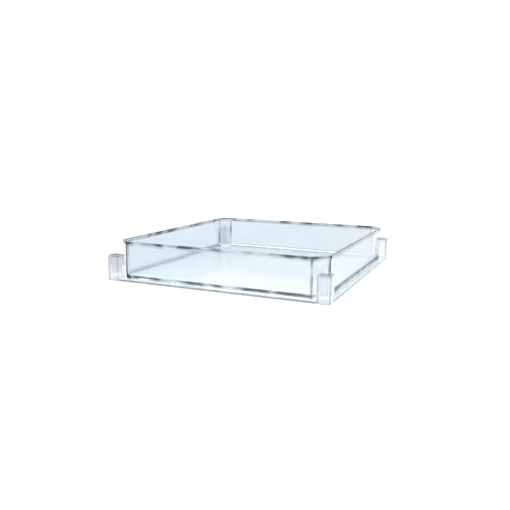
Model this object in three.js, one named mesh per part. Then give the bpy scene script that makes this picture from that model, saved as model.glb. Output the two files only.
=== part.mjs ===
// Letter tray, clear plastic, four equal walls and four open corner posts.
// Millimetres, +Z up, short side facing -Y, floor under the feet at z = 0.
import * as THREE from "three";

// ---- driving dimensions ---------------------------------------------------
const wallWidth = 280; // across the outer faces of the side walls
const wallDepth = 304; // across the outer faces of the front and back walls
const trayHeight = 51.5; // feet to the top of the rim
const wallThick = 2.5;
const cornerCut = 16; // leg of the flat facet across each corner
const rimTall = 4.5; // lip round the top of every wall
const rimOut = 1.3; // how far the lip stands out from the wall
const coveReach = 7; // toe of the inside cove, measured from the outer face
const coveRise = 7; // where the cove meets the inner face, above the base
const coveToe = 2; // thickness of the cove at its toe
const baseUnder = 0.8; // underside of the base plate above the ground
const baseThick = 2.6;
const baseLip = 8.5; // base plate past the wall faces, level with the posts
const edgeBreak = 0.45; // eased edge on plates
const postSide = 16.5;
const postRadius = 3;
const postTop = 33.5;
const postWall = 2.4;
const boreRadius = 1.6;
const socketFlare = 0.7; // lead-in at the mouth of each post
const footTop = 7;
const footBreak = 0.6;
const saddleTop = 20; // block tying a post to its corner facet
const saddleSpread = 7.8;
const seam = 0.3; // clearance left where two pieces meet
const arcSteps = 7;

const baseTop = baseUnder + baseThick;
const halfW = wallWidth / 2;
const halfD = wallDepth / 2;
const postInner = postSide - baseLip; // post's inner faces, inward of the corner

// ---- outlines -------------------------------------------------------------
const v2 = (x, y) => new THREE.Vector2(x, y);

function arc(cx, cy, radius, fromDeg, toDeg, steps = arcSteps) {
  const points = [];
  for (let i = 0; i <= steps; i += 1) {
    const angle = THREE.MathUtils.degToRad(fromDeg + ((toDeg - fromDeg) * i) / steps);
    points.push(v2(cx + radius * Math.cos(angle), cy + radius * Math.sin(angle)));
  }
  return points;
}

function roundedSquare(cx, cy, side, radius) {
  const h = side / 2 - radius;
  return [
    ...arc(cx + h, cy - h, radius, -90, 0),
    ...arc(cx + h, cy + h, radius, 0, 90),
    ...arc(cx - h, cy + h, radius, 90, 180),
    ...arc(cx - h, cy - h, radius, 180, 270),
  ];
}

// Moves every side of a counter-clockwise outline outward by the same distance.
function grow(outline, distance) {
  const count = outline.length;
  const normal = (i) => {
    const a = outline[i % count];
    const b = outline[(i + 1) % count];
    return v2(b.y - a.y, a.x - b.x).normalize();
  };
  return outline.map((point, i) => {
    const before = normal(i + count - 1);
    const after = normal(i);
    const reach = distance / (1 + before.dot(after));
    return point.clone().add(before.add(after).multiplyScalar(reach));
  });
}

// Turns a point given as distances inward from a wall corner into plan position.
function inward(corner, a, b) {
  return v2(corner.x * (halfW - a), corner.y * (halfD - b));
}

// ---- closed bodies --------------------------------------------------------
function toMesh(name, positions, indices, material) {
  const geometry = new THREE.BufferGeometry();
  geometry.setAttribute("position", new THREE.Float32BufferAttribute(positions, 3));
  geometry.setIndex(indices);
  const flat = geometry.toNonIndexed();
  flat.computeVertexNormals();
  const mesh = new THREE.Mesh(flat, material);
  mesh.name = name;
  return mesh;
}

function joinLoops(loops, indices, closed) {
  const count = loops[0].outline.length;
  const rings = closed ? loops.length : loops.length - 1;
  for (let r = 0; r < rings; r += 1) {
    const low = r * count;
    const high = ((r + 1) % loops.length) * count;
    for (let i = 0; i < count; i += 1) {
      const j = (i + 1) % count;
      indices.push(low + i, low + j, high + j);
      indices.push(low + i, high + j, high + i);
    }
  }
}

function loopPositions(loops) {
  return loops.flatMap(({ outline, z }) => outline.flatMap((p) => [p.x, p.y, z]));
}

// A solid made of outlines stacked from the bottom up, capped at both ends.
function stack(name, loops, material) {
  const indices = [];
  joinLoops(loops, indices, false);
  const top = (loops.length - 1) * loops[0].outline.length;
  THREE.ShapeUtils.triangulateShape(loops[0].outline, []).forEach(([a, b, c]) => {
    indices.push(c, b, a);
  });
  THREE.ShapeUtils.triangulateShape(loops[loops.length - 1].outline, []).forEach(([a, b, c]) => {
    indices.push(top + a, top + b, top + c);
  });
  return toMesh(name, loopPositions(loops), indices, material);
}

// A tube: outlines run up the outside and back down the bore.
function tube(name, loops, material) {
  const indices = [];
  joinLoops(loops, indices, true);
  return toMesh(name, loopPositions(loops), indices, material);
}

// ---- walls: one section swept round an eight-sided plan --------------------
function wallSection() {
  const low = baseTop + seam;
  const coveRadiusX = coveReach - wallThick;
  const coveRadiusZ = coveRise - coveToe;
  const points = [v2(0, low), v2(0, trayHeight - rimTall), v2(rimOut, trayHeight - rimTall + rimOut)];
  points.push(...arc(rimOut - 0.7, trayHeight - 0.7, 0.7, 0, 90, 3));
  points.push(...arc(-wallThick + 0.6, trayHeight - 0.6, 0.6, 90, 180, 3));
  for (let i = 0; i <= arcSteps; i += 1) {
    const angle = (Math.PI / 2) * (i / arcSteps);
    const x = -wallThick - coveRadiusX * (1 - Math.cos(angle));
    points.push(v2(x, low + coveToe + coveRadiusZ * (1 - Math.sin(angle))));
  }
  points.push(v2(-coveReach, low));
  return points;
}

function planCorners() {
  const points = [];
  const order = [v2(1, -1), v2(1, 1), v2(-1, 1), v2(-1, -1)];
  order.forEach((corner, i) => {
    const legs = [inward(corner, cornerCut, 0), inward(corner, 0, cornerCut)];
    points.push(...(i % 2 === 0 ? legs : legs.reverse()));
  });
  return points;
}

// One straight run of the section between plan points i and i + 1, mitred.
function wallRun(name, i, section, material) {
  const plan = planCorners();
  const count = plan.length;
  const start = plan[i % count];
  const end = plan[(i + 1) % count];
  const along = end.clone().sub(start).normalize();
  const outer = grow(plan, 1);
  const lean = (k) => outer[k % count].clone().sub(plan[k % count]);
  const ends = [
    { foot: start.clone().addScaledVector(along, seam / 2), lean: lean(i) },
    { foot: end.clone().addScaledVector(along, -seam / 2), lean: lean(i + 1) },
  ];
  const positions = ends.flatMap(({ foot, lean: side }) => section.flatMap((p) => {
    const at = foot.clone().addScaledVector(side, p.x);
    return [at.x, at.y, p.y];
  }));
  const size = section.length;
  const indices = [];
  for (let k = 0; k < size; k += 1) {
    const n = (k + 1) % size;
    indices.push(k, size + k, size + n);
    indices.push(k, size + n, n);
  }
  THREE.ShapeUtils.triangulateShape(section, []).forEach(([a, b, c]) => {
    indices.push(a, b, c);
    indices.push(size + c, size + b, size + a);
  });
  return toMesh(name, positions, indices, material);
}

// ---- base plate, cut back round each post ---------------------------------
function basePlate(material) {
  const clear = postInner + seam;
  const bend = postInner - postRadius;
  const notch = [v2(clear, -baseLip), ...arc(bend, bend, postRadius + seam, 0, 90), v2(-baseLip, clear)];
  const outline = [];
  const order = [v2(1, -1), v2(1, 1), v2(-1, 1), v2(-1, -1)];
  order.forEach((corner, i) => {
    const run = i % 2 === 0 ? notch : [...notch].reverse();
    run.forEach((p) => outline.push(inward(corner, p.x, p.y)));
  });
  const eased = grow(outline, -edgeBreak);
  const loops = [
    { outline: eased, z: baseUnder },
    { outline, z: baseUnder + edgeBreak },
    { outline, z: baseTop - edgeBreak },
    { outline: eased, z: baseTop },
  ];
  return stack("base_plate", loops, material);
}

// ---- corner parts ---------------------------------------------------------
function postCentre(corner) {
  const a = postInner - postSide / 2;
  return inward(corner, a, a);
}

function cornerPost(name, corner, material) {
  const at = postCentre(corner);
  const outer = roundedSquare(at.x, at.y, postSide, postRadius);
  const bore = roundedSquare(at.x, at.y, postSide - 2 * postWall, boreRadius);
  const loops = [
    { outline: grow(outer, -edgeBreak), z: baseUnder },
    { outline: outer, z: baseUnder + edgeBreak },
    { outline: outer, z: postTop - 0.8 },
    { outline: grow(outer, -0.25), z: postTop - 0.25 },
    { outline: grow(outer, -0.8), z: postTop },
    { outline: grow(bore, socketFlare), z: postTop },
    { outline: bore, z: postTop - 1.4 },
    { outline: bore, z: baseUnder },
  ];
  return tube(name, loops, material);
}

function footPlug(name, corner, material) {
  const at = postCentre(corner);
  const side = postSide - 2 * (postWall + seam);
  const plug = roundedSquare(at.x, at.y, side, boreRadius - seam);
  const loops = [
    { outline: grow(plug, -footBreak), z: 0 },
    { outline: plug, z: footBreak },
    { outline: plug, z: footTop - footBreak },
    { outline: grow(plug, -footBreak), z: footTop },
  ];
  return stack(name, loops, material);
}

function cornerSaddle(name, corner, material) {
  const face = cornerCut - seam * Math.SQRT2;
  const near = postInner + seam;
  const bend = postInner - postRadius;
  const outline = [
    v2(near, near - saddleSpread),
    v2((face + saddleSpread) / 2, (face - saddleSpread) / 2),
    v2((face - saddleSpread) / 2, (face + saddleSpread) / 2),
    v2(near - saddleSpread, near),
    ...arc(bend, bend, postRadius + seam, 90, 0),
  ].map((p) => inward(corner, p.x, p.y));
  if (THREE.ShapeUtils.isClockWise(outline)) {
    outline.reverse();
  }
  const loops = [
    { outline, z: baseTop + seam },
    { outline, z: saddleTop },
  ];
  return stack(name, loops, material);
}

// ---- the tray -------------------------------------------------------------
function plastic(colour, roughness) {
  return new THREE.MeshStandardMaterial({ color: colour, roughness, metalness: 0 });
}

const tray = new THREE.Group();
tray.name = "letter_tray";
tray.add(basePlate(plastic(0xdcebf2, 0.08)));

const section = wallSection();
const runNames = [
  "facet_front_right", "wall_right", "facet_back_right", "wall_back",
  "facet_back_left", "wall_left", "facet_front_left", "wall_front",
];
runNames.forEach((name, i) => {
  tray.add(wallRun(name, i, section, plastic(0xe3eff5, 0.06)));
});

const corners = {
  front_right: v2(1, -1),
  back_right: v2(1, 1),
  back_left: v2(-1, 1),
  front_left: v2(-1, -1),
};
Object.entries(corners).forEach(([place, corner]) => {
  tray.add(cornerPost(`post_${place}`, corner, plastic(0xcfe0e8, 0.07)));
  tray.add(footPlug(`foot_${place}`, corner, plastic(0xdfe5ea, 0.6)));
  tray.add(cornerSaddle(`saddle_${place}`, corner, plastic(0xc6dde3, 0.1)));
});

export default tray;
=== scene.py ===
"""Finished looks of a clear stacking letter tray: moulded pieces, plastic and a plain studio."""

import math

import bpy
import numpy as np
from mathutils import Matrix, Vector


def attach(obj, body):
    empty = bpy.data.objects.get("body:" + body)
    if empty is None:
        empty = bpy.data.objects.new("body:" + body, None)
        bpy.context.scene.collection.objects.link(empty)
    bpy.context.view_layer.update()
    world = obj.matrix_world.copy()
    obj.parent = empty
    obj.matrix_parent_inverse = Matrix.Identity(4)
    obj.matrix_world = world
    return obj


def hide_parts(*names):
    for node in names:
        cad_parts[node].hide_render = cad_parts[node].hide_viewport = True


bl_info = {
    "name": "Clear letter tray",
    "version": (1, 0, 0),
    "blender": (4, 5, 0),
    "location": "View3D > Sidebar > Tray",
    "description": "Builds the finished pieces of a clear letter tray and the studio round them",
    "category": "Object",
}

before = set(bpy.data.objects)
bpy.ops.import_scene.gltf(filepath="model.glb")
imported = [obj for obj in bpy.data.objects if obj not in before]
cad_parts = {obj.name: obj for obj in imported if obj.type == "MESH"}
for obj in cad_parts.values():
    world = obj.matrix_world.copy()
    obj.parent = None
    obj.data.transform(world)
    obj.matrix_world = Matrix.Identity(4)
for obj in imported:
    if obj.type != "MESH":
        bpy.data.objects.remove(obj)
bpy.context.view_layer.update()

CORNERS = {
    "front_right": (1, -1),
    "back_right": (1, 1),
    "back_left": (-1, 1),
    "front_left": (-1, -1),
}
RUNS = (
    "facet_front_right",
    "wall_right",
    "facet_back_right",
    "wall_back",
    "facet_back_left",
    "wall_left",
    "facet_front_left",
    "wall_front",
)
# Share of the painted shade line along the foot of a wall that a run keeps, 1 where it is not
# named.
FOOT_SHADE = {
    "wall_back": 0.2,
    "facet_back_left": 0.1,
    "wall_left": 0.12,
    "facet_back_right": 0.3,
}
# Run with the heavier painted shade line at its foot and no painted shade on its top face.
HEAVY_SHADE_RUN = "wall_right"
# Depth of the painted shade in the mouth of a post, 0.5 where it is not named.
MOUTH_SHADE = {"front_left": 1.0}
QUARTER_STEPS = 10  # steps in each rounded corner of a post
CREASE = 32.0  # degrees past which an edge between two faces stays sharp
CLEAR_IOR = 1.49
RUBBER_IOR = 1.42


# ---- sizes and colours -----------------------------------------------------
def length(name, default, description):
    """A size in metres that shows with its unit in the sidebar."""
    return bpy.props.FloatProperty(
        name=name, description=description, default=default, min=0.0, precision=5, unit="LENGTH"
    )


def colour(name, default, description):
    """A plain colour swatch."""
    return bpy.props.FloatVectorProperty(
        name=name,
        description=description,
        default=default,
        size=3,
        min=0.0,
        max=1.0,
        subtype="COLOR",
    )


def amount(name, default, description):
    """A plain number from nought to one."""
    return bpy.props.FloatProperty(
        name=name, description=description, default=default, min=0.0, max=1.0, subtype="FACTOR"
    )


class TraySizes(bpy.types.PropertyGroup):
    """Sizes of the tray."""

    wall_width: length("Wall width", 0.280, "Across the outer faces of the side walls")
    wall_depth: length("Wall depth", 0.304, "Across the outer faces of the front and back walls")
    height: length("Height", 0.0515, "Ground to the top of the rim")
    wall_thick: length("Wall thickness", 0.0025, "Thickness of the walls")
    corner_cut: length("Corner cut", 0.016, "Leg of the facet across each corner")
    corner_bend: length("Corner bend", 0.010, "Radius where a facet turns into a wall")
    rim_tall: length("Rim height", 0.0045, "Depth of the lip below the top edge")
    rim_out: length("Rim overhang", 0.0013, "How far the lip stands out of the wall")
    cove_reach: length("Cove reach", 0.007, "Toe of the inside cove from the outer face")
    cove_rise: length("Cove rise", 0.007, "Height of the inside cove")
    cove_toe: length("Cove toe", 0.002, "Thickness of the cove at its toe")
    base_under: length("Base clearance", 0.0008, "Underside of the base above the ground")
    base_thick: length("Base thickness", 0.0026, "Thickness of the base plate")
    base_lip: length("Base lip", 0.0085, "Base plate past the wall faces")
    post_side: length("Post side", 0.0165, "Side of a corner post")
    post_radius: length("Post corner radius", 0.003, "Rounding of a corner post")
    post_top: length("Post top", 0.0335, "Ground to the top of a post")
    post_wall: length("Post wall", 0.0024, "Wall of a corner post")
    foot_top: length("Foot plug top", 0.007, "Ground to the top of a foot plug")
    saddle_top: length("Saddle top", 0.020, "Ground to the top of a saddle block")
    saddle_spread: length("Saddle spread", 0.0078, "Half the length of a saddle block")
    bore_radius: length("Bore corner radius", 0.0016, "Rounding inside a corner post")
    seam: length("Seam", 0.0003, "Clearance where two pieces meet")
    rim_round: length("Rim radius", 0.0008, "Rounding of the rim's outer top edge")
    rim_inner_round: length("Inner rim radius", 0.0007, "Rounding of the rim's inner top edge")
    lip_round: length("Lip radius", 0.0005, "Rounding of the lip's lower edge")
    # The next three sizes place the painted shade line along the foot of each wall.
    foot_shade_line: length("Foot line height", 0.0023, "Dark line on a wall, above the wall's foot")
    foot_band: length("Foot line depth", 0.0018, "Depth of that dark line")
    heavy_band: length("Heavy foot line depth", 0.0028, "Depth of the dark line on the right wall")
    base_round: length("Base edge radius", 0.0006, "Rounding of the base plate's edges")
    post_round: length("Post end radius", 0.0008, "Rounding of both ends of a post")
    mouth_round: length("Post mouth radius", 0.0007, "Rounding at the mouth of a post")
    foot_round: length("Foot plug radius", 0.0007, "Rounding of both ends of a foot plug")
    saddle_round: length("Saddle edge radius", 0.0003, "Rounding of a saddle's flat ends")


class TrayLooks(bpy.types.PropertyGroup):
    """Colours and finishes of the tray, with the painted edge shade and the painted shade of the
    back walls.
    """

    wall: colour("Wall tint", (0.925, 0.955, 0.972), "Tint of the clear walls and facets")
    # Painted shade: the next two tints are darker copies of the wall tint, standing in for shade
    # on the back and left walls and the back left facet.
    shaded_wall: colour("Wall tint with painted shade", (0.68, 0.77, 0.835), "Tint of the back and left walls")
    shaded_facet: colour("Facet tint with painted shade", (0.67, 0.74, 0.785), "Tint of the back left facet")
    base: colour("Base tint", (0.85, 0.905, 0.935), "Tint of the clear base plate")
    post: colour("Post tint", (0.915, 0.935, 0.97), "Tint of the clear corner posts")
    saddle: colour("Saddle tint", (0.975, 0.99, 0.99), "Tint of the blocks behind the posts")
    # Painted shade: the edge colour paints the dark lines that the polished edges show by
    # refracting and reflecting dark surroundings.
    edge: colour("Edge tint", (0.006, 0.011, 0.014), "Deep tint seen in the polished edges")
    foot: colour("Foot colour", (0.88, 0.91, 0.94), "Colour of the soft foot plugs")
    polish: amount("Polish roughness", 0.02, "Roughness of the polished plastic")
    satin: amount("Base roughness", 0.16, "Roughness of the satin base plate")
    haze: amount("Post roughness", 0.13, "Roughness of the faintly hazy posts and saddles")
    frost: amount("Deeper facet roughness", 0.6, "Roughness of the back left facet")
    clarity: amount("Post clarity", 0.82, "Clear share of posts and saddles, the rest is milky")
    base_clarity: amount("Base clarity", 0.93, "Clear share of the base plate, the rest is milky")
    wear: amount("Handling wear", 0.35, "Strength of scuffs and fine scratches")
    # Breakup and post breakup make the painted edge shade come and go in patches.
    breakup: amount("Edge breakup", 0.72, "How far the edge tint comes and goes in patches")
    post_breakup: amount("Post edge breakup", 0.2, "The same on the posts and saddles")


class TrayStudio(bpy.types.PropertyGroup):
    """Paper bowl, lamps and camera."""

    floor_radius: length("Floor radius", 2.0, "Flat part of the paper bowl")
    bowl_bend: length("Bowl bend", 0.8, "Radius where the floor turns up into the side")
    bowl_top: length("Bowl top", 2.6, "Height of the bowl")
    paper: colour("Paper", (0.16, 0.16, 0.16), "Colour of the paper under its own glow")
    paper_glow: amount("Paper glow", 0.9, "Even light given off by the paper")
    left_power: bpy.props.FloatProperty(
        name="Left lamp", description="Power of the left softbox", default=22.0, unit="POWER"
    )
    right_power: bpy.props.FloatProperty(
        name="Right lamp", description="Power of the right softbox", default=14.0, unit="POWER"
    )
    back_power: bpy.props.FloatProperty(
        name="Back lamp", description="Power of the back softbox", default=26.0, unit="POWER"
    )
    room: colour("Room", (0.10, 0.12, 0.14), "Dim room seen through the open top of the bowl")
    room_glow: amount("Room glow", 0.8, "Brightness of the room")
    camera_place: bpy.props.FloatVectorProperty(
        name="Camera place",
        description="Place of the camera",
        default=(0.3181, -0.7556, 0.1652),
        precision=4,
        subtype="TRANSLATION",
    )
    camera_turn: bpy.props.FloatProperty(
        name="Camera turn",
        description="Turn of the camera to the right of the front wall",
        default=math.radians(23.56),
        subtype="ANGLE",
    )
    camera_rise: bpy.props.FloatProperty(
        name="Camera rise",
        description="Angle at which the camera looks down",
        default=math.radians(10.07),
        subtype="ANGLE",
    )
    camera_roll: bpy.props.FloatProperty(
        name="Camera roll",
        description="Tilt of the camera about its own line of sight",
        default=math.radians(-0.52),
        subtype="ANGLE",
    )
    camera_lens: bpy.props.FloatProperty(
        name="Camera lens",
        description="Focal length on a 36 mm wide sensor",
        default=40.98,
        unit="CAMERA",
    )


# ---- outlines --------------------------------------------------------------
def arc(centre, radius, start, end, steps):
    """Points on a circle: centre plus radius times (cosine, sine) of evenly spaced angles."""
    angle = np.radians(np.linspace(start, end, steps + 1))
    return np.array(centre) + radius * np.stack([np.cos(angle), np.sin(angle)], 1)


def side_normals(outline):
    """Outward unit normal of each side of a counter-clockwise outline."""
    along = np.roll(outline, -1, 0) - outline
    along /= np.linalg.norm(along, axis=1, keepdims=True)
    return np.stack([along[:, 1], -along[:, 0]], 1)


def mitres(outline):
    """At each point, the step that moves both its sides outward by one unit: the sum of the
    two side normals over one plus their dot product."""
    after = side_normals(outline)
    before = np.roll(after, 1, 0)
    return (before + after) / (1 + (before * after).sum(1, keepdims=True))


def rounded_square(side, radius):
    """Four straight sides joined by quarter circles, centred on the origin."""
    h = side / 2 - radius
    quarters = [
        arc((a * h, b * h), radius, start, start + 90, QUARTER_STEPS)
        for a, b, start in ((1, -1, -90), (1, 1, 0), (-1, 1, 90), (-1, -1, 180))
    ]
    return np.concatenate(quarters)


def counter_clockwise(outline):
    """Same outline, run counter-clockwise, by the sign of its area."""
    x, y = outline[:, 0], outline[:, 1]
    area = (x * np.roll(y, -1) - y * np.roll(x, -1)).sum()
    return outline if area > 0 else outline[::-1]


# ---- surfaces --------------------------------------------------------------
def grid_faces(rows, count, closed_rows=False):
    """Quads between neighbouring rows of a grid whose columns wrap round."""
    i = np.arange(rows if closed_rows else rows - 1)[:, None]
    j = np.arange(count)[None, :]
    k = (j + 1) % count
    n = (i + 1) % rows
    quads = np.stack([i * count + j, i * count + k, n * count + k, n * count + j], -1)
    return quads.reshape(-1, 4)


def make_piece(name, points, faces, nodes, material, edge):
    """Mesh piece from points and faces, smooth but for its creases. Edge is a number per point for
    the painted shade, 1 on a dark-painted polished edge and 0 away from it."""
    mesh = bpy.data.meshes.new(name)
    mesh.from_pydata(points.tolist(), [], faces)
    if mesh.validate():
        raise RuntimeError(f"{name} has broken faces")
    mesh.update()
    mesh.shade_smooth()
    mesh.set_sharp_from_angle(angle=math.radians(CREASE))
    # The edge attribute carries the strength of the painted shade along the polished edges.
    stored = mesh.attributes.new("edge", "FLOAT", "POINT")
    stored.data.foreach_set("value", np.ravel(edge).astype(np.float32))
    mesh.materials.append(material)
    piece = bpy.data.objects.new(name, mesh)
    bpy.context.scene.collection.objects.link(piece)
    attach(piece, "root")
    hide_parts(*nodes)
    return piece


def stacked(name, rings, nodes, material, edge):
    """Solid from rings (level, point, xyz) going up, capped flat at both ends."""
    rows, count = rings.shape[:2]
    faces = grid_faces(rows, count).tolist()
    faces.append(list(range(count))[::-1])
    faces.append(list(range((rows - 1) * count, rows * count)))
    edge = np.broadcast_to(edge, (rows, count))
    return make_piece(name, rings.reshape(-1, 3), faces, nodes, material, edge)


def levels(outline, insets, heights):
    """Rings of an outline: each is the outline shrunk by its inset, at its height."""
    step = mitres(outline)
    rings = outline[None] - np.asarray(insets)[:, None, None] * step[None]
    z = np.broadcast_to(np.asarray(heights)[:, None, None], rings.shape[:2] + (1,))
    return np.concatenate([rings, z], 2)


def eased(depth, steps):
    """Quarter round from a flat end to an upright side: inset is depth times one minus the
    sine, and rise is depth times one minus the cosine, of an angle from 0 to 90 degrees."""
    angle = np.linspace(0, math.pi / 2, steps + 1)
    return depth * (1 - np.sin(angle)), depth * (1 - np.cos(angle))


def post_centre(s, corner):
    """Centre of a post: its outer faces are level with the edge of the base."""
    a, b = CORNERS[corner]
    off = s.base_lip - s.post_side / 2
    return np.array([a * (s.wall_width / 2 + off), b * (s.wall_depth / 2 + off)])


def from_corner(s, corner, ab):
    """Plan points from distances inward of a wall corner."""
    a, b = CORNERS[corner]
    half = np.array([s.wall_width, s.wall_depth]) / 2
    return np.array([a, b]) * (half - np.asarray(ab))


# ---- plastics --------------------------------------------------------------
def link(tree, a, b):
    """Joins an output to an input."""
    tree.links.new(a, b)


def wear_group():
    """Handling wear over a surface, from object position.

    Scratches are the thin ridges of a noise stretched along one way, kept where it is
    close to its middle value. Smears are a soft low noise. Specks are the peaks of a fine
    noise. Roughness is the polish plus wear times the sum of each of these times its own
    strength. Height is a slow noise less a small part of the scratches.
    """
    name = "Handling wear"
    if name in bpy.data.node_groups:
        return bpy.data.node_groups[name]
    g = bpy.data.node_groups.new(name, "ShaderNodeTree")
    io = g.interface
    io.new_socket("Vector", in_out="INPUT", socket_type="NodeSocketVector")
    for label, value in (("Polish", 0.02), ("Wear", 0.35), ("Grain", 60.0)):
        io.new_socket(label, in_out="INPUT", socket_type="NodeSocketFloat").default_value = value
    for label in ("Roughness", "Smear", "Height"):
        io.new_socket(label, in_out="OUTPUT", socket_type="NodeSocketFloat")
    src = g.nodes.new("NodeGroupInput")
    out = g.nodes.new("NodeGroupOutput")

    def math_node(kind, a, b):
        node = g.nodes.new("ShaderNodeMath")
        node.operation = kind
        for socket, value in zip(node.inputs, (a, b)):
            if isinstance(value, (int, float)):
                socket.default_value = value
            else:
                link(g, value, socket)
        return node.outputs[0]

    def noise(scale, stretch, detail, rough):
        place = g.nodes.new("ShaderNodeMapping")
        place.inputs["Scale"].default_value = stretch
        place.inputs["Rotation"].default_value = (0.3, 0.5, 0.7)
        link(g, src.outputs["Vector"], place.inputs["Vector"])
        node = g.nodes.new("ShaderNodeTexNoise")
        node.inputs["Detail"].default_value = detail
        node.inputs["Roughness"].default_value = rough
        link(g, place.outputs[0], node.inputs["Vector"])
        link(g, math_node("MULTIPLY", src.outputs["Grain"], scale), node.inputs["Scale"])
        return node.outputs["Fac"]

    def ramp(value, low, high):
        node = g.nodes.new("ShaderNodeMapRange")
        node.inputs["From Min"].default_value = low
        node.inputs["From Max"].default_value = high
        link(g, value, node.inputs["Value"])
        return node.outputs[0]

    scratch = math_node("ABSOLUTE", math_node("SUBTRACT", noise(2.2, (1, 9, 1), 3, 0.5), 0.5), 0)
    scratch = ramp(scratch, 0.006, 0.0)
    smear = ramp(noise(0.25, (1, 1, 1), 4, 0.6), 0.45, 0.7)
    speck = ramp(noise(14.0, (1, 1, 1), 1, 0.5), 0.72, 0.8)
    lines = math_node("MULTIPLY", scratch, 0.22)
    worn = math_node("ADD", lines, math_node("MULTIPLY", smear, 0.05))
    worn = math_node("ADD", worn, math_node("MULTIPLY", speck, 0.4))
    worn = math_node("MULTIPLY", worn, src.outputs["Wear"])
    link(g, math_node("ADD", src.outputs["Polish"], worn), out.inputs["Roughness"])
    link(g, smear, out.inputs["Smear"])
    flow = noise(0.4, (1, 1, 2), 2, 0.5)
    height = math_node("ADD", flow, math_node("MULTIPLY", scratch, -0.06))
    link(g, height, out.inputs["Height"])
    return g


def painted_edge_shade_group():
    """Painted shade in the polished edges: dark lines that stand in for the dark surroundings
    which the edges refract and reflect.

    Patch is a soft noise stretched to run from 0 to 1. The body colour moves towards the painted
    shade colour by the stored painted shade number times one minus patch times breakup.
    """
    name = "Edge tint"
    if name in bpy.data.node_groups:
        return bpy.data.node_groups[name]
    g = bpy.data.node_groups.new(name, "ShaderNodeTree")
    io = g.interface
    io.new_socket("Vector", in_out="INPUT", socket_type="NodeSocketVector")
    io.new_socket("Body", in_out="INPUT", socket_type="NodeSocketColor")
    io.new_socket("Edge", in_out="INPUT", socket_type="NodeSocketColor")
    io.new_socket("Breakup", in_out="INPUT", socket_type="NodeSocketFloat").default_value = 0.5
    io.new_socket("Color", in_out="OUTPUT", socket_type="NodeSocketColor")
    src = g.nodes.new("NodeGroupInput")
    out = g.nodes.new("NodeGroupOutput")
    stored = g.nodes.new("ShaderNodeAttribute")
    stored.attribute_name = "edge"
    cloud = g.nodes.new("ShaderNodeTexNoise")
    cloud.inputs["Scale"].default_value = 48.0
    cloud.inputs["Detail"].default_value = 1.0
    link(g, src.outputs["Vector"], cloud.inputs["Vector"])
    patch = g.nodes.new("ShaderNodeMapRange")
    patch.inputs["From Min"].default_value = 0.4
    patch.inputs["From Max"].default_value = 0.6
    link(g, cloud.outputs["Fac"], patch.inputs["Value"])
    less = g.nodes.new("ShaderNodeMath")
    less.operation = "MULTIPLY"
    link(g, patch.outputs[0], less.inputs[0])
    link(g, src.outputs["Breakup"], less.inputs[1])
    keep = g.nodes.new("ShaderNodeMath")
    keep.operation = "SUBTRACT"
    keep.inputs[0].default_value = 1.0
    link(g, less.outputs[0], keep.inputs[1])
    weight = g.nodes.new("ShaderNodeMath")
    weight.operation = "MULTIPLY"
    link(g, stored.outputs["Fac"], weight.inputs[0])
    link(g, keep.outputs[0], weight.inputs[1])
    mix = g.nodes.new("ShaderNodeMix")
    mix.data_type = "RGBA"
    link(g, weight.outputs[0], mix.inputs[0])
    link(g, src.outputs["Body"], mix.inputs[6])
    link(g, src.outputs["Edge"], mix.inputs[7])
    link(g, mix.outputs[2], out.inputs["Color"])
    return g


def new_material(name):
    """Empty node material and its output node."""
    m = bpy.data.materials.new(name)
    m.use_nodes = True
    m.node_tree.nodes.clear()
    return m, m.node_tree, m.node_tree.nodes.new("ShaderNodeOutputMaterial")


def dressed_principled(tree, tint, worn_tint, polish, wear, grain, bump, edge=None, breakup=0):
    """Principled shader whose colour, roughness and normal come from the wear group, and whose
    colour darkens with painted shade in the edges where an edge colour is given."""
    n = tree.nodes
    at = n.new("ShaderNodeTexCoord")
    worn = n.new("ShaderNodeGroup")
    worn.node_tree = wear_group()
    worn.inputs["Polish"].default_value = polish
    worn.inputs["Wear"].default_value = wear
    worn.inputs["Grain"].default_value = grain
    link(tree, at.outputs["Object"], worn.inputs["Vector"])
    mix = n.new("ShaderNodeMix")
    mix.data_type = "RGBA"
    mix.inputs[6].default_value = (*tint, 1)
    mix.inputs[7].default_value = (*worn_tint, 1)
    link(tree, worn.outputs["Smear"], mix.inputs[0])
    raised = n.new("ShaderNodeBump")
    raised.inputs["Strength"].default_value = 1.0
    raised.inputs["Distance"].default_value = bump
    link(tree, worn.outputs["Height"], raised.inputs["Height"])
    shader = n.new("ShaderNodeBsdfPrincipled")
    colour_out = mix.outputs[2]
    if edge is not None:
        # Painted shade: the edge group darkens the colour along the polished edges.
        shaded = n.new("ShaderNodeGroup")
        shaded.node_tree = painted_edge_shade_group()
        shaded.inputs["Edge"].default_value = (*edge, 1)
        shaded.inputs["Breakup"].default_value = breakup
        link(tree, at.outputs["Object"], shaded.inputs["Vector"])
        link(tree, colour_out, shaded.inputs["Body"])
        colour_out = shaded.outputs["Color"]
    link(tree, colour_out, shader.inputs["Base Color"])
    link(tree, worn.outputs["Roughness"], shader.inputs["Roughness"])
    link(tree, raised.outputs["Normal"], shader.inputs["Normal"])
    return shader


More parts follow.
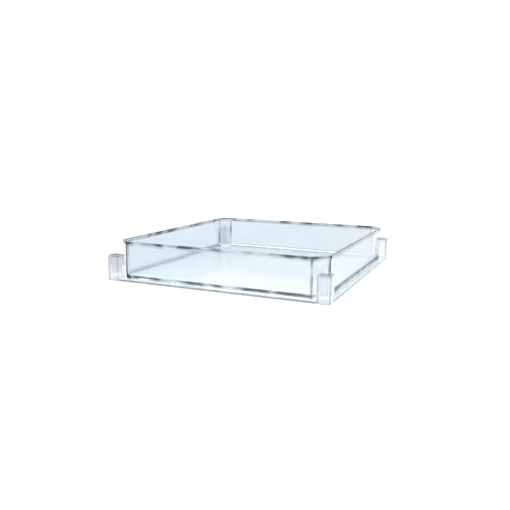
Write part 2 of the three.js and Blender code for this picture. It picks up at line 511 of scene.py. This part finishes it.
def clear_plastic(name, tint, looks, polish, clarity=1.0, grain=60.0, breakup=None):
    """Moulded plastic: refracting, faintly tinted, letting lamp light through. Clarity 1 is
    clear and less is milky. Smears are a little deeper than the plastic round them."""
    if name in bpy.data.materials:
        return bpy.data.materials[name]
    m, tree, out = new_material(name)
    tint = tuple(tint)
    cloudy = tuple(0.985 * c for c in tint)
    # Painted shade colour for the dark lines along the polished edges.
    edge = tuple(looks.edge)
    breakup = looks.breakup if breakup is None else breakup
    bump = 0.00008
    shader = dressed_principled(
        tree, tint, cloudy, polish, looks.wear, grain, bump, edge, breakup
    )
    shader.inputs["IOR"].default_value = CLEAR_IOR
    shader.inputs["Transmission Weight"].default_value = clarity
    through = tree.nodes.new("ShaderNodeBsdfTransparent")
    through.inputs["Color"].default_value = (*tint, 1)
    path = tree.nodes.new("ShaderNodeLightPath")
    mix = tree.nodes.new("ShaderNodeMixShader")
    link(tree, path.outputs["Is Shadow Ray"], mix.inputs[0])
    link(tree, shader.outputs[0], mix.inputs[1])
    link(tree, through.outputs[0], mix.inputs[2])
    link(tree, mix.outputs[0], out.inputs["Surface"])
    return m


def milky_rubber(name, tint):
    """Soft milky plug: matt, faintly mottled and finely grained."""
    if name in bpy.data.materials:
        return bpy.data.materials[name]
    m, tree, out = new_material(name)
    grubby = tuple(0.9 * c for c in tint)
    shader = dressed_principled(tree, tuple(tint), grubby, 0.5, 0.6, 160.0, 0.0002)
    shader.inputs["IOR"].default_value = RUBBER_IOR
    link(tree, shader.outputs[0], out.inputs["Surface"])
    return m


# ---- pieces ----------------------------------------------------------------
def weighted(points, weight):
    """Points with their edge numbers added as a third column."""
    points = np.asarray(points, float)
    return np.column_stack([points, np.broadcast_to(weight, len(points))])


def wall_section(s, foot, heavy):
    """Section of a wall, outward, up and edge number, the edge number being the strength of the
    painted shade: upright outer face, lip with rounded edges, inner face and a quarter-ellipse
    cove down to a thin toe. It runs counter-clockwise. Along the cove, the distance in is its
    reach times one minus the cosine, and the height its rise times one minus the sine, of an angle
    t from 0 to 90 degrees. Foot is the painted shade number of the line along the foot. A heavy
    section has a deeper painted shade line along its foot, painted shade over more of the cove and
    no painted shade on its top face."""
    band = s.heavy_band if heavy else s.foot_band
    top_shade = 0.0 if heavy else 1.0
    dark_from = 0.6 if heavy else 1.2  # angle t past which the cove is dark
    low = s.base_under + s.base_thick + s.seam
    line = low + s.foot_shade_line
    top = s.height
    lip = top - s.rim_tall
    out, back = s.rim_out, -s.wall_thick
    shoulder = arc((out - s.lip_round, lip + out + 0.0002), s.lip_round, -45, 0, 3)
    outer_edge = arc((out - s.rim_round, top - s.rim_round), s.rim_round, 0, 90, 6)
    inner_round = s.rim_inner_round
    inner_edge = arc((back + inner_round, top - inner_round), inner_round, 90, 180, 6)
    t = np.linspace(0, math.pi / 2, 15)
    reach = s.cove_reach - s.wall_thick
    rise = s.cove_rise - s.cove_toe
    inward = back - reach * (1 - np.cos(t))
    cove = np.stack([inward, low + s.cove_toe + rise * (1 - np.sin(t))], 1)
    # The third column, the edge number, paints dark shade lines at the foot, lip, rim and cove.
    return np.concatenate([
        weighted([(0, low + 0.0003), (0, line - 0.0007)], 0),
        weighted([(0, line), (0, line + band)], foot),
        weighted([(0, line + band + 0.0008), (0, (low + lip) / 2), (0, lip - 0.0012)], 0),
        weighted([(0, lip - 0.0006), (0, lip)], 0.6),
        weighted(shoulder, [0.6, 0.6, 0.5, 0.2]),
        weighted([(out, top - 0.0032)], 0),
        weighted([(out, top - 0.0026)], top_shade),
        weighted(outer_edge, 0.6 + 0.4 * top_shade),
        weighted([(out - 0.0012, top), (back + 0.0011, top)], top_shade),
        weighted(inner_edge, 1),
        weighted([(back, top - 0.0013)], 0.8),
        weighted([(back, top - 0.0019), (back, top / 2)], 0),
        weighted(cove, np.where(t > dark_from, 0.85 * foot, 0)),
        weighted([(-s.cove_reach, low + 0.0002), (0.0002 - s.cove_reach, low)], 0.85 * foot),
        weighted([(-0.006, low), (-0.0012, low), (-0.0003, low)], 0),
    ])


def wall_plan(s):
    """Eight-sided plan of the walls, counter-clockwise from the front right facet."""
    cut = s.corner_cut
    points = []
    for i, corner in enumerate(CORNERS):
        legs = [(cut, 0), (0, cut)]
        points += [from_corner(s, corner, leg) for leg in (legs if i % 2 == 0 else legs[::-1])]
    return np.array(points)


def build_walls(s, looks):
    """Walls and corner facets: the section swept along the plan. Each bend is a circle arc about a
    centre set in from the plan corner, and a point of the section lies on the arc's radius plus
    its own outward distance. Each run ends half way round a bend. Near its ends, the edge number,
    a painted shade line where one run meets the next, is 2.2 less 0.6 for each station in, held
    between 0 and 1, times 0.85. The back and left walls and the back left facet take darker copies
    of the wall plastic as painted shade."""
    plan = wall_plan(s)
    bend = s.corner_bend
    centres = plan - bend * mitres(plan)
    facing = np.unwrap(np.arctan2(*side_normals(plan).T[::-1]))
    count = len(plan)
    wall = clear_plastic("Clear wall", looks.wall, looks, looks.polish)
    # Painted shade: darker copies of the wall plastic for the back and left walls and the back
    # left facet.
    shaded = clear_plastic("Clear wall with painted shade", looks.shaded_wall, looks, looks.polish)
    most_shaded = clear_plastic("Clear facet with painted shade", looks.shaded_facet, looks, looks.frost)
    shaded_runs = {"wall_back": shaded, "wall_left": shaded, "facet_back_left": most_shaded}
    gap = s.seam / 2 / bend
    for i, name in enumerate(RUNS):
        here = facing[i]
        section = wall_section(s, FOOT_SHADE.get(name, 1.0), name == HEAVY_SHADE_RUN)
        turn = math.pi / 8
        first = np.linspace(here - turn + gap, here, 9)
        last = np.linspace(here, here + turn - gap, 9)
        middle = np.linspace(0, 1, 9)[1:-1]
        start, end = centres[i], centres[(i + 1) % count]
        angle = np.concatenate([first, np.full(len(middle), here), last])
        hub = np.concatenate([
            np.repeat(start[None], len(first), 0),
            start + middle[:, None] * (end - start),
            np.repeat(end[None], len(last), 0),
        ])
        away = np.stack([np.cos(angle), np.sin(angle)], 1)
        flat = hub[:, None] + (bend + section[None, :, 0, None]) * away[:, None]
        z = np.broadcast_to(section[None, :, 1, None], flat.shape[:2] + (1,))
        rings = np.concatenate([flat, z], 2)[:, ::-1]
        station = np.arange(len(angle))
        close = np.minimum(station, station[::-1])
        seam_shade = np.clip(2.2 - 0.6 * close, 0, 1) * 0.85
        edge = np.maximum(section[None, ::-1, 2], seam_shade[:, None])
        material = shaded_runs.get(name, wall)
        stacked(f"clear_{name}", rings, [name], material, edge)


def base_outline(s):
    """Base plate edge, set back round each post by the seam."""
    bend = s.post_side - s.base_lip - s.post_radius
    clear = s.post_side - s.base_lip + s.seam
    notch = np.concatenate([
        [(clear, -s.base_lip)],
        arc((bend, bend), s.post_radius + s.seam, 0, 90, QUARTER_STEPS),
        [(-s.base_lip, clear)],
    ])
    return np.concatenate([
        from_corner(s, corner, notch if i % 2 == 0 else notch[::-1])
        for i, corner in enumerate(CORNERS)
    ])


def build_base(s, looks):
    """Base plate: its outline raised through two rounded edges."""
    outline = base_outline(s)
    inset, rise = eased(s.base_round, 4)
    low, high = s.base_under, s.base_under + s.base_thick
    flat = [0.0028, 0.0018]
    middle = [low + 0.0014]
    insets = np.concatenate([flat, inset, [0], inset[::-1], flat[::-1]])
    heights = np.concatenate([[low] * 2, low + rise, middle, high - rise[::-1], [high] * 2])
    edge = np.zeros((len(insets), 1))
    # Painted shade: a faint dark line along the lower edge of the plate.
    edge[1:7] = 0.2  # faint line along the lower edge
    material = clear_plastic("Clear base", looks.base, looks, looks.satin, looks.base_clarity)
    rings = levels(outline, insets, heights)
    stacked("clear_base_plate", rings, ["base_plate"], material, edge)


def build_posts(s, looks):
    """Corner posts: a rounded square run up the outside, over a rounded mouth and back down the
    bore. The last ring joins the first, so the tube is closed. The edge number, the strength of
    the painted shade, is high at both ends and along the middle of each rounded corner."""
    material = clear_plastic(
        "Clear post", looks.post, looks, looks.haze, looks.clarity, 90.0, looks.post_breakup
    )
    outer = rounded_square(s.post_side, s.post_radius)
    bore = rounded_square(s.post_side - 2 * s.post_wall, s.bore_radius)
    low, top = s.base_under, s.post_top
    inset, rise = eased(s.post_round, 5)
    flare, dip = eased(s.mouth_round, 4)
    outside = levels(
        outer,
        np.concatenate([inset, [0, 0], inset[::-1]]),
        np.concatenate([low + rise, [low + 0.0016, top - 0.0016], top - rise[::-1]]),
    )
    inside = levels(
        bore,
        np.concatenate([-flare, [0, 0, 0]]),
        np.concatenate([top - dip, [top - 0.0018, top - 0.003, low]]),
    )
    rings = np.concatenate([outside, inside])
    faces = grid_faces(len(rings), len(outer), True).tolist()
    along = np.arange(len(outer)) % (QUARTER_STEPS + 1)
    upright = np.where(np.abs(along - QUARTER_STEPS // 2) < 2, 0.55, 0.0)
    is_outside = (np.arange(len(rings)) < len(outside))[:, None]
    # Painted shade at the ends, in the mouth and down the rounded corners of each post.
    for corner in CORNERS:
        mouth = MOUTH_SHADE.get(corner, 0.5)
        lower = [np.full(6, 0.5), np.zeros(7)]
        upper = [[mouth - 0.5], np.full(5, mouth), [1, mouth - 0.5, 0]]
        edge = np.concatenate(lower + upper)[:, None]
        edge = np.maximum(edge, upright * is_outside)
        at = np.append(post_centre(s, corner), 0)
        points = (rings + at).reshape(-1, 3)
        name, nodes = f"clear_post_{corner}", [f"post_{corner}"]
        make_piece(name, points, faces, nodes, material, edge)


def build_feet(s, looks):
    """Foot plugs: rounded squares that fill the lower end of each post."""
    material = milky_rubber("Milky foot", looks.foot)
    side = s.post_side - 2 * (s.post_wall + s.seam)
    plug = rounded_square(side, s.bore_radius - s.seam)
    inset, rise = eased(s.foot_round, 5)
    insets = np.concatenate([inset, inset[::-1]])
    heights = np.concatenate([rise, s.foot_top - rise[::-1]])
    rings = levels(plug, insets, heights)
    for corner in CORNERS:
        at = np.append(post_centre(s, corner), 0)
        name, nodes = f"foot_plug_{corner}", [f"foot_{corner}"]
        stacked(name, rings + at, nodes, material, 0.0)


def build_saddles(s, looks):
    """Saddle blocks: hollowed on one side to the post and flat to the facet on the other."""
    material = clear_plastic(
        "Clear saddle", looks.saddle, looks, looks.haze, looks.clarity, 90.0, looks.post_breakup
    )
    face = s.corner_cut - s.seam * math.sqrt(2)
    near = s.post_side - s.base_lip + s.seam
    bend = near - s.seam - s.post_radius
    spread = s.saddle_spread
    plan = np.concatenate([
        [(near, near - spread), ((face + spread) / 2, (face - spread) / 2)],
        [((face - spread) / 2, (face + spread) / 2), (near - spread, near)],
        arc((bend, bend), s.post_radius + s.seam, 90, 0, QUARTER_STEPS),
    ])
    inset, rise = eased(s.saddle_round, 3)
    low = s.base_under + s.base_thick + s.seam
    insets = np.concatenate([inset, inset[::-1]])
    heights = np.concatenate([low + rise, s.saddle_top - rise[::-1]])
    for corner in CORNERS:
        outline = counter_clockwise(from_corner(s, corner, plan))
        rings = levels(outline, insets, heights)
        name, nodes = f"clear_saddle_{corner}", [f"saddle_{corner}"]
        stacked(name, rings, nodes, material, 0.0)


# ---- studio ----------------------------------------------------------------
def build_bowl(studio):
    """Pale paper bowl with a dim opening overhead: a profile turned round the upright axis,
    radius times (cosine, sine) of each angle. In the bend, the radius grows by the bend times
    the sine, and the height by the bend times one minus the cosine, of 0 to 90 degrees."""
    bend = studio.bowl_bend
    angle = np.radians(np.linspace(0, 90, 17))
    radius = studio.floor_radius + bend * np.sin(angle)
    curve = np.stack([radius, bend * (1 - np.cos(angle))], 1)
    rim = (studio.floor_radius + bend, studio.bowl_top)
    profile = np.concatenate([[(0.9, 0)], curve, [rim]])
    turn = np.linspace(0, 2 * math.pi, 97)[:-1]
    round_about = np.stack([np.cos(turn), np.sin(turn)], 1)
    flat = profile[:, None, :1] * round_about[None]
    z = np.broadcast_to(profile[:, None, 1:], flat.shape[:2] + (1,))
    points = np.concatenate([flat, z], 2).reshape(-1, 3)
    faces = grid_faces(len(profile), len(turn))[:, ::-1].tolist()
    faces.append(list(range(len(turn))))
    mesh = bpy.data.meshes.new("studio_sweep")
    mesh.from_pydata(points.tolist(), [], faces)
    mesh.shade_smooth()
    m, tree, out = new_material("Studio paper")
    paper = tuple(studio.paper)
    grubby = tuple(0.96875 * c for c in paper)
    shader = dressed_principled(tree, paper, grubby, 0.8, 0.2, 8.0, 0.0002)
    shader.inputs["Emission Color"].default_value = (1, 1, 1, 1)
    shader.inputs["Emission Strength"].default_value = studio.paper_glow
    shader.inputs["Specular IOR Level"].default_value = 0.1
    link(tree, shader.outputs[0], out.inputs["Surface"])
    mesh.materials.append(m)
    sweep = bpy.data.objects.new("studio_sweep", mesh)
    bpy.context.scene.collection.objects.link(sweep)


def build_lamp(name, place, size, power):
    """Rectangular softbox aimed at the tray."""
    data = bpy.data.lights.new(name, "AREA")
    data.shape = "RECTANGLE"
    data.size, data.size_y = size
    data.energy = power
    lamp = bpy.data.objects.new(name, data)
    lamp.location = place
    aim = Vector((0, 0.1, 0)) - Vector(place)
    lamp.rotation_euler = aim.to_track_quat("-Z", "Y").to_euler()
    bpy.context.scene.collection.objects.link(lamp)


def build_camera(studio):
    """Camera from its turn, rise and roll. Behind is the way from the tray to the camera, and
    roll turns the right and down directions about it."""
    turn, rise, roll = studio.camera_turn, studio.camera_rise, studio.camera_roll
    behind = Vector((
        math.sin(turn) * math.cos(rise),
        -math.cos(turn) * math.cos(rise),
        math.sin(rise),
    ))
    right = (-behind).cross(Vector((0, 0, 1))).normalized()
    down = (-behind).cross(right)
    right, down = (
        math.cos(roll) * right + math.sin(roll) * down,
        math.cos(roll) * down - math.sin(roll) * right,
    )
    data = bpy.data.cameras.new("front_camera")
    data.sensor_width = 36
    data.lens = studio.camera_lens
    camera = bpy.data.objects.new("front_camera", data)
    facing = Matrix((right, -down, behind)).transposed().to_4x4()
    camera.matrix_world = Matrix.Translation(studio.camera_place) @ facing
    bpy.context.scene.collection.objects.link(camera)
    bpy.context.scene.camera = camera


def build_stage(studio):
    """Paper bowl, soft lamps, dim room and the camera."""
    scene = bpy.context.scene
    scene.view_settings.view_transform = "Standard"
    scene.cycles.max_bounces = 24
    scene.cycles.transmission_bounces = 24
    scene.cycles.transparent_max_bounces = 24
    build_bowl(studio)
    build_lamp("left_softbox", (-1.7, -0.6, 1.5), (1.0, 1.2), studio.left_power)
    build_lamp("right_softbox", (1.8, -0.4, 1.4), (0.8, 1.0), studio.right_power)
    build_lamp("back_softbox", (0.0, 1.3, 1.9), (2.6, 0.6), studio.back_power)
    world = bpy.data.worlds.new("studio_room")
    world.use_nodes = True
    back = world.node_tree.nodes["Background"]
    back.inputs["Color"].default_value = (*studio.room, 1)
    back.inputs["Strength"].default_value = studio.room_glow
    scene.world = world
    build_camera(studio)


# ---- operators, panel ------------------------------------------------------
class TRAY_OT_base(bpy.types.Operator):
    """Build the clear base plate."""

    bl_idname = "tray.base"
    bl_label = "Base plate"
    bl_options = {"REGISTER", "UNDO"}

    def execute(self, context):
        build_base(context.scene.tray_sizes, context.scene.tray_looks)
        return {"FINISHED"}


class TRAY_OT_walls(bpy.types.Operator):
    """Build the four walls and the four corner facets."""

    bl_idname = "tray.walls"
    bl_label = "Walls and facets"
    bl_options = {"REGISTER", "UNDO"}

    def execute(self, context):
        build_walls(context.scene.tray_sizes, context.scene.tray_looks)
        return {"FINISHED"}


class TRAY_OT_posts(bpy.types.Operator):
    """Build the four open corner posts."""

    bl_idname = "tray.posts"
    bl_label = "Corner posts"
    bl_options = {"REGISTER", "UNDO"}

    def execute(self, context):
        build_posts(context.scene.tray_sizes, context.scene.tray_looks)
        return {"FINISHED"}


class TRAY_OT_saddles(bpy.types.Operator):
    """Build the blocks that tie the posts to the facets."""

    bl_idname = "tray.saddles"
    bl_label = "Saddle blocks"
    bl_options = {"REGISTER", "UNDO"}

    def execute(self, context):
        build_saddles(context.scene.tray_sizes, context.scene.tray_looks)
        return {"FINISHED"}


class TRAY_OT_feet(bpy.types.Operator):
    """Build the soft plugs in the lower ends of the posts."""

    bl_idname = "tray.feet"
    bl_label = "Foot plugs"
    bl_options = {"REGISTER", "UNDO"}

    def execute(self, context):
        build_feet(context.scene.tray_sizes, context.scene.tray_looks)
        return {"FINISHED"}


class TRAY_OT_stage(bpy.types.Operator):
    """Set out the paper bowl, the lamps and the camera."""

    bl_idname = "tray.stage"
    bl_label = "Studio"
    bl_options = {"REGISTER", "UNDO"}

    def execute(self, context):
        build_stage(context.scene.tray_studio)
        return {"FINISHED"}


class TRAY_PT_panel(bpy.types.Panel):
    """Sidebar panel of the tray."""

    bl_idname = "TRAY_PT_panel"
    bl_label = "Clear letter tray"
    bl_space_type = "VIEW_3D"
    bl_region_type = "UI"
    bl_category = "Tray"

    def draw(self, context):
        scene = context.scene
        for group in (scene.tray_sizes, scene.tray_looks, scene.tray_studio):
            box = self.layout.box()
            for key in group.bl_rna.properties.keys():
                if key not in ("rna_type", "name"):
                    box.prop(group, key)
        for operator in OPERATORS:
            self.layout.operator(operator.bl_idname)


OPERATORS = (
    TRAY_OT_base,
    TRAY_OT_walls,
    TRAY_OT_posts,
    TRAY_OT_saddles,
    TRAY_OT_feet,
    TRAY_OT_stage,
)
CLASSES = (TraySizes, TrayLooks, TrayStudio, *OPERATORS, TRAY_PT_panel)


def register():
    """Adds the classes and the three groups of settings to the scene."""
    for cls in CLASSES:
        bpy.utils.register_class(cls)
    bpy.types.Scene.tray_sizes = bpy.props.PointerProperty(type=TraySizes)
    bpy.types.Scene.tray_looks = bpy.props.PointerProperty(type=TrayLooks)
    bpy.types.Scene.tray_studio = bpy.props.PointerProperty(type=TrayStudio)


def unregister():
    """Takes them away again."""
    del bpy.types.Scene.tray_studio
    del bpy.types.Scene.tray_looks
    del bpy.types.Scene.tray_sizes
    for cls in reversed(CLASSES):
        bpy.utils.unregister_class(cls)


def main():
    """Builds every piece and the studio."""
    register()
    bpy.ops.tray.base()
    bpy.ops.tray.walls()
    bpy.ops.tray.posts()
    bpy.ops.tray.saddles()
    bpy.ops.tray.feet()
    bpy.ops.tray.stage()


if __name__ == "__main__":
    main()
